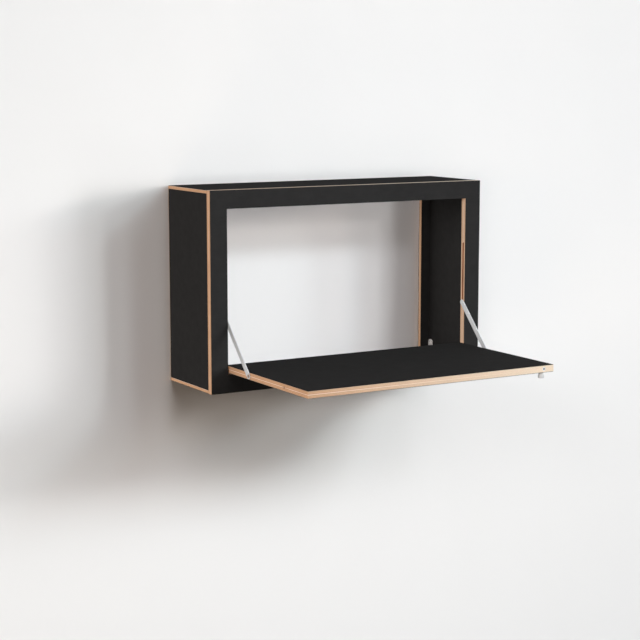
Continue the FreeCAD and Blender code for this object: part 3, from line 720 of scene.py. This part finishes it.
def screw_surface(head, shank, recess, step, thread):
    """Rows of a screw about +Z: the head's outline spun round, less the recess, then a shank with a thread.

    A point of the head at radius r and angle a lies at (r cos a, r sin a, height - recess depth there).
    On the shank the radius falls by the thread's depth along a helix: a triangle wave of the height over the
    pitch plus the turn."""
    pitch, thread_depth = thread
    head_rows = outline_rows(head, step)
    outline = np.concatenate([head_rows, outline_rows(shank, pitch / ROWS_PER_PITCH)])
    angle = np.arange(ROUND_STEPS) * 2 * math.pi / ROUND_STEPS
    radius = outline[:, 0][:, None] * np.ones(ROUND_STEPS)
    height = outline[:, 1][:, None] * np.ones(ROUND_STEPS)
    threaded = np.zeros(len(outline))
    threaded[len(head_rows) + 1:-1] = 1.0
    wave = (height / pitch + angle / (2 * math.pi)) % 1.0
    radius -= thread_depth * np.abs(2 * wave - 1) * threaded[:, None]
    x = radius * np.cos(angle)
    y = radius * np.sin(angle)
    top = np.arange(len(outline)) < head_rows[:, 0].argmax()
    height = height - np.where(top[:, None], recess(x, y), 0.0)
    return np.stack([x, y, height], -1)


def closed_surface(rows):
    """Vertices and faces of rows of rings: four-sided faces from ring to ring, and a fan on each end."""
    count, around = rows.shape[:2]
    points = np.concatenate([rows.reshape(-1, 3), rows[:1].mean(1), rows[-1:].mean(1)])
    first_pole = count * around
    ring = np.arange(around)
    after = (ring + 1) % around
    base = np.arange(count - 1)[:, None] * around
    quads = np.stack([base + ring, base + around + ring, base + around + after, base + after], -1)
    first = np.stack([np.full(around, first_pole), ring, after], -1)
    last_ring = (count - 1) * around
    last = np.stack([np.full(around, first_pole + 1), last_ring + after, last_ring + ring], -1)
    return points, quads.reshape(-1, 4), np.concatenate([first, last])


def pointed(points, place, way):
    """Points made about +Z, carried to a place with +Z turned to a way."""
    turn = np.array(Vector(way).to_track_quat("Z", "Y").to_matrix())
    return points @ turn.T + np.array(place)


def new_object(name, data):
    """Object with its data, in the scene."""
    made = bpy.data.objects.new(name, data)
    bpy.context.scene.collection.objects.link(made)
    return made


def screw_piece(name, surface, places, body, stands_for, material):
    """One piece made of copies of a screw surface, each at a place and facing a way."""
    points, quads, fans = closed_surface(surface)
    all_points = np.concatenate([pointed(points, place, way) for place, way in places])
    all_faces = []
    for copy in range(len(places)):
        offset = copy * len(points)
        all_faces += [*(quads + offset).tolist(), *(fans + offset).tolist()]
    mesh = bpy.data.meshes.new(name)
    mesh.from_pydata(all_points.tolist(), [], all_faces)
    mesh.shade_smooth()
    mesh.set_sharp_from_angle(angle=SHARP_ANGLE)
    mesh.materials.append(material)
    piece = new_object(name, mesh)
    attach(piece, body)
    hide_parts(stands_for)


def brace_screw_places():
    """Seats of the screws on both braces, each with the way its head faces."""
    low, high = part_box("right_corner_brace")
    far = high.z - low.z - (high.y - low.y) / 2
    y = (low.y + high.y) / 2
    places = []
    for side in (-1, 1):
        for distance in (far, far - BRACE_HOLE_PITCH):
            upright = (side * (high.x - BRACE_THICKNESS), y, low.z + distance)
            flat = (side * (high.x - distance), y, low.z + BRACE_THICKNESS)
            places += [(upright, (-side, 0, 0)), (flat, (0, 0, 1))]
    return places


def brace_screw_surface():
    """Pan-headed wood screw of the corner braces; its crown is part of an ellipse."""
    radius = BRACE_SCREW["radius"]
    height = BRACE_SCREW["height"]
    shank = BRACE_SCREW["shank"]
    length = BRACE_SCREW["length"]
    bend = np.linspace(*CROWN_BEND, CROWN_POINTS) * math.pi
    crown = [(radius * math.sin(a), height * (CROWN_RIM + (1 - CROWN_RIM) * math.cos(a))) for a in bend]
    head = [*crown, (radius, 0.0), (shank, 0.0)]
    tail = [(shank, 0.0), (shank, shank - length), (shank * TIP_SHARE, -length)]
    recess = partial(cross_recess, **BRACE_CROSS)
    return screw_surface(head, tail, recess, BRACE_SCREW["step"], WOOD_THREAD)


def pivot_screw_surface():
    """Shoulder screw of a stay, with a hexagon socket in its flush head."""
    low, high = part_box("right_stay_screw")
    radius = PIVOT_SCREW["radius"]
    head_low = -PIVOT_SCREW["height"]
    shoulder = PIVOT_SCREW["shoulder"]
    shank = PIVOT_SCREW["shank"]
    thread_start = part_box("flap_panel")[1].x - high.x
    head = [(POLE_RADIUS, 0.0), (radius - EASE, 0.0), (radius, -EASE), (radius, head_low)]
    head += [(shoulder, head_low), (shoulder, thread_start), (shank, thread_start)]
    tail = [(shank, thread_start), (shank, low.x - high.x)]
    recess = partial(hexagon_recess, **PIVOT_SOCKET)
    return screw_surface(head, tail, recess, PIVOT_SCREW["step"], WOOD_THREAD)


def cover_screw_surface():
    """Countersunk wood screw of the latch's cover plate."""
    radius = COVER_SCREW["radius"]
    shank = COVER_SCREW["shank"]
    length = COVER_SCREW["length"]
    head = [(POLE_RADIUS, 0.0), (radius - EASE, 0.0), (radius, -EASE / 2), (shank, shank - radius)]
    tail = [(shank, shank - radius), (shank, shank - length), (shank * TIP_SHARE, -length)]
    recess = partial(cross_recess, **COVER_CROSS)
    return screw_surface(head, tail, recess, COVER_SCREW["step"], WOOD_THREAD)


def grub_screw_surface():
    """Grub screw of the knob, with a hexagon socket in its end."""
    low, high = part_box("knob_set_screw")
    radius = (high.z - low.z) / 2
    head = [(POLE_RADIUS, 0.0), (radius - EASE, 0.0), (radius, -EASE)]
    tail = [(radius, -EASE), (radius, low.x - high.x)]
    recess = partial(hexagon_recess, **GRUB_SOCKET)
    return screw_surface(head, tail, recess, GRUB_STEP, FINE_THREAD)


def add_screws():
    """The four kinds of screw, each in place of its plain piece."""
    zinc = bpy.data.materials["zinc_braces"]
    steel = bpy.data.materials["turned_stay_rivet"]
    dark_tan = bpy.data.materials["dark_tan_stay_screw"]
    screw = brace_screw_surface()
    screw_piece("brace_screw_set", screw, brace_screw_places(), "case", "brace_screws", zinc)
    screw = pivot_screw_surface()
    for hand, side in (("left", -1), ("right", 1)):
        plain = hand + "_stay_screw"
        pivot = middle(plain)
        seats = [((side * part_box("right_stay_screw")[1].x, pivot.y, pivot.z), (side, 0, 0))]
        screw_piece(hand + "_pivot_screw", screw, seats, "flap", plain, dark_tan)
    screw = cover_screw_surface()
    cover = middle("latch_cover_screws")
    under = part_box("latch_cover_screws")[0].z
    half = COVER_SCREW_SPACING / 2
    seats = [((cover.x + side * half, cover.y, under), (0, 0, -1)) for side in (-1, 1)]
    screw_piece("cover_screw_set", screw, seats, "flap", "latch_cover_screws", steel)
    screw = grub_screw_surface()
    grub = middle("knob_set_screw")
    seats = [((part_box("knob_set_screw")[1].x, grub.y, grub.z), (1, 0, 0))]
    screw_piece("knob_grub_screw", screw, seats, "knob", "knob_set_screw", steel)


# Surroundings, which are no part of the desk

def sheet_material(name, glow_share=0.0):
    """Pale paint that the camera and reflections meet on a sheet's front; all other light passes through.

    A share of it can be self-lit, so that it stays pale in the desk's shade."""
    made = bpy.data.materials.new(name)
    made.use_nodes = True
    tree = made.node_tree
    tree.nodes.clear()
    paint = add_node(tree, "ShaderNodeBsdfDiffuse", {"Color": SHEET_COLOUR}).outputs[0]
    if glow_share:
        glow = add_node(tree, "ShaderNodeEmission", {"Color": SHEET_COLOUR}).outputs[0]
        paint = add_node(tree, "ShaderNodeMixShader", {0: glow_share, 1: paint, 2: glow}).outputs[0]
    path = tree.nodes.new("ShaderNodeLightPath").outputs
    behind = tree.nodes.new("ShaderNodeNewGeometry").outputs["Backfacing"]
    seen = maths(tree, "MAXIMUM", path["Is Camera Ray"], path["Is Glossy Ray"])
    shown = maths(tree, "MULTIPLY", seen, maths(tree, "SUBTRACT", 1.0, behind))
    clear = tree.nodes.new("ShaderNodeBsdfTransparent").outputs[0]
    mixed = add_node(tree, "ShaderNodeMixShader", {0: shown, 1: clear, 2: paint}).outputs[0]
    add_node(tree, "ShaderNodeOutputMaterial", {"Surface": mixed})
    return made


def stage_sheet(name, corners, centre, material):
    """Large flat sheet from the signs of its corners about a centre."""
    mesh = bpy.data.meshes.new(name)
    points = np.array(corners, float) * SHEET_REACH + np.array(centre)
    mesh.from_pydata(points.tolist(), [], [(0, 1, 2, 3)])
    mesh.materials.append(material)
    return new_object(name, mesh)


def wall_and_floor():
    """Pale wall behind the desk and pale floor below it."""
    upright = [(-1, 0, -1), (1, 0, -1), (1, 0, 1), (-1, 0, 1)]
    level = [(-1, -1, 0), (1, -1, 0), (1, 1, 0), (-1, 1, 0)]
    floor_paint = sheet_material("floor_paint", FLOOR_GLOW_SHARE)
    wall = stage_sheet("wall", upright, (0, WALL_GAP, 0), sheet_material("wall_paint"))
    floor = stage_sheet("floor", level, (0, 0, -FLOOR_DROP), floor_paint)


def sky():
    """Even sky, brighter behind the desk as a wall's bounce is; the camera sees a pale background."""
    world = bpy.data.worlds.new("studio")
    bpy.context.scene.world = world
    world.use_nodes = True
    tree = world.node_tree
    tree.nodes.clear()
    way = tree.nodes.new("ShaderNodeTexCoord").outputs["Generated"]
    behind = ramped(tree, parted(tree, way)[1], *SKY_TURN)
    strength = ramped(tree, behind, 0.0, 1.0, SKY_FRONT, SKY_BEHIND)
    tint = blended(tree, behind, SKY_FRONT_COLOUR, SKY_BEHIND_COLOUR)
    light = add_node(tree, "ShaderNodeBackground", {"Color": tint, "Strength": strength}).outputs[0]
    shown = add_node(tree, "ShaderNodeBackground", {"Color": BACKGROUND_COLOUR}).outputs[0]
    path = tree.nodes.new("ShaderNodeLightPath").outputs
    seen = maths(tree, "MAXIMUM", path["Is Camera Ray"], path["Is Glossy Ray"])
    seen = maths(tree, "MAXIMUM", seen, path["Is Transmission Ray"])
    mixed = add_node(tree, "ShaderNodeMixShader", {0: seen, 1: light, 2: shown}).outputs[0]
    add_node(tree, "ShaderNodeOutputWorld", {"Surface": mixed})


def far_lamp(name, azimuth, elevation, spread, share, colour):
    """Distant soft lamp at an azimuth and elevation, as strong as its share of the wall's light."""
    lamp = bpy.data.lights.new(name, "SUN")
    across = math.radians(azimuth)
    rise = math.radians(elevation)
    toward = Vector((math.sin(across) * math.cos(rise), -math.cos(across) * math.cos(rise), math.sin(rise)))
    lamp.energy = share * math.pi / -toward.y
    lamp.angle = math.radians(spread)
    lamp.color = colour
    holder = new_object(name, lamp)
    holder.rotation_euler = toward.to_track_quat("Z", "Y").to_euler()
    return holder


def spare(holder, sheet):
    """Keep a lamp's light off a sheet behind the desk."""
    spared = bpy.data.collections.new(holder.name + "_spares")
    spared.objects.link(sheet)
    spared.collection_objects[0].light_linking.link_state = "EXCLUDE"
    holder.light_linking.receiver_collection = spared


def near_lamp(name, place, radius, share, colour):
    """Unseen soft ball near the desk, equally strong at any distance so that the wall stays even."""
    lamp = bpy.data.lights.new(name, "POINT")
    lamp.energy = share * BALL_POWER
    lamp.shadow_soft_size = radius
    lamp.color = colour
    lamp.use_nodes = True
    tree = lamp.node_tree
    falloff = add_node(tree, "ShaderNodeLightFalloff", {"Strength": 1.0})
    feed(tree, tree.nodes["Emission"], {"Strength": falloff.outputs["Constant"]})
    holder = new_object(name, lamp)
    holder.location = place
    holder.visible_camera = False


def view_camera():
    """Camera at the photograph's place."""
    data = bpy.data.cameras.new("view")
    data.lens = CAMERA_LENS
    data.sensor_width = CAMERA_SENSOR
    camera = new_object("view", data)
    camera.location = CAMERA_PLACE
    camera.rotation_euler = (math.radians(90 + CAMERA_PITCH), 0.0, math.radians(-CAMERA_YAW))
    bpy.context.scene.camera = camera


dress_boards()
dress_fittings()
add_screws()
wall_and_floor()
sky()
for lamp_name, lamp_settings in FAR_LAMPS.items():
    far_lamp(lamp_name, **lamp_settings)
for lamp_name, lamp_settings in NEAR_LAMPS.items():
    near_lamp(lamp_name, **lamp_settings)
for lamp_name, lamp_settings in SIDE_LAMPS.items():
    spare(far_lamp(lamp_name, **lamp_settings), bpy.data.objects["wall"])
view_camera()
bpy.context.scene.view_settings.view_transform = "Standard"
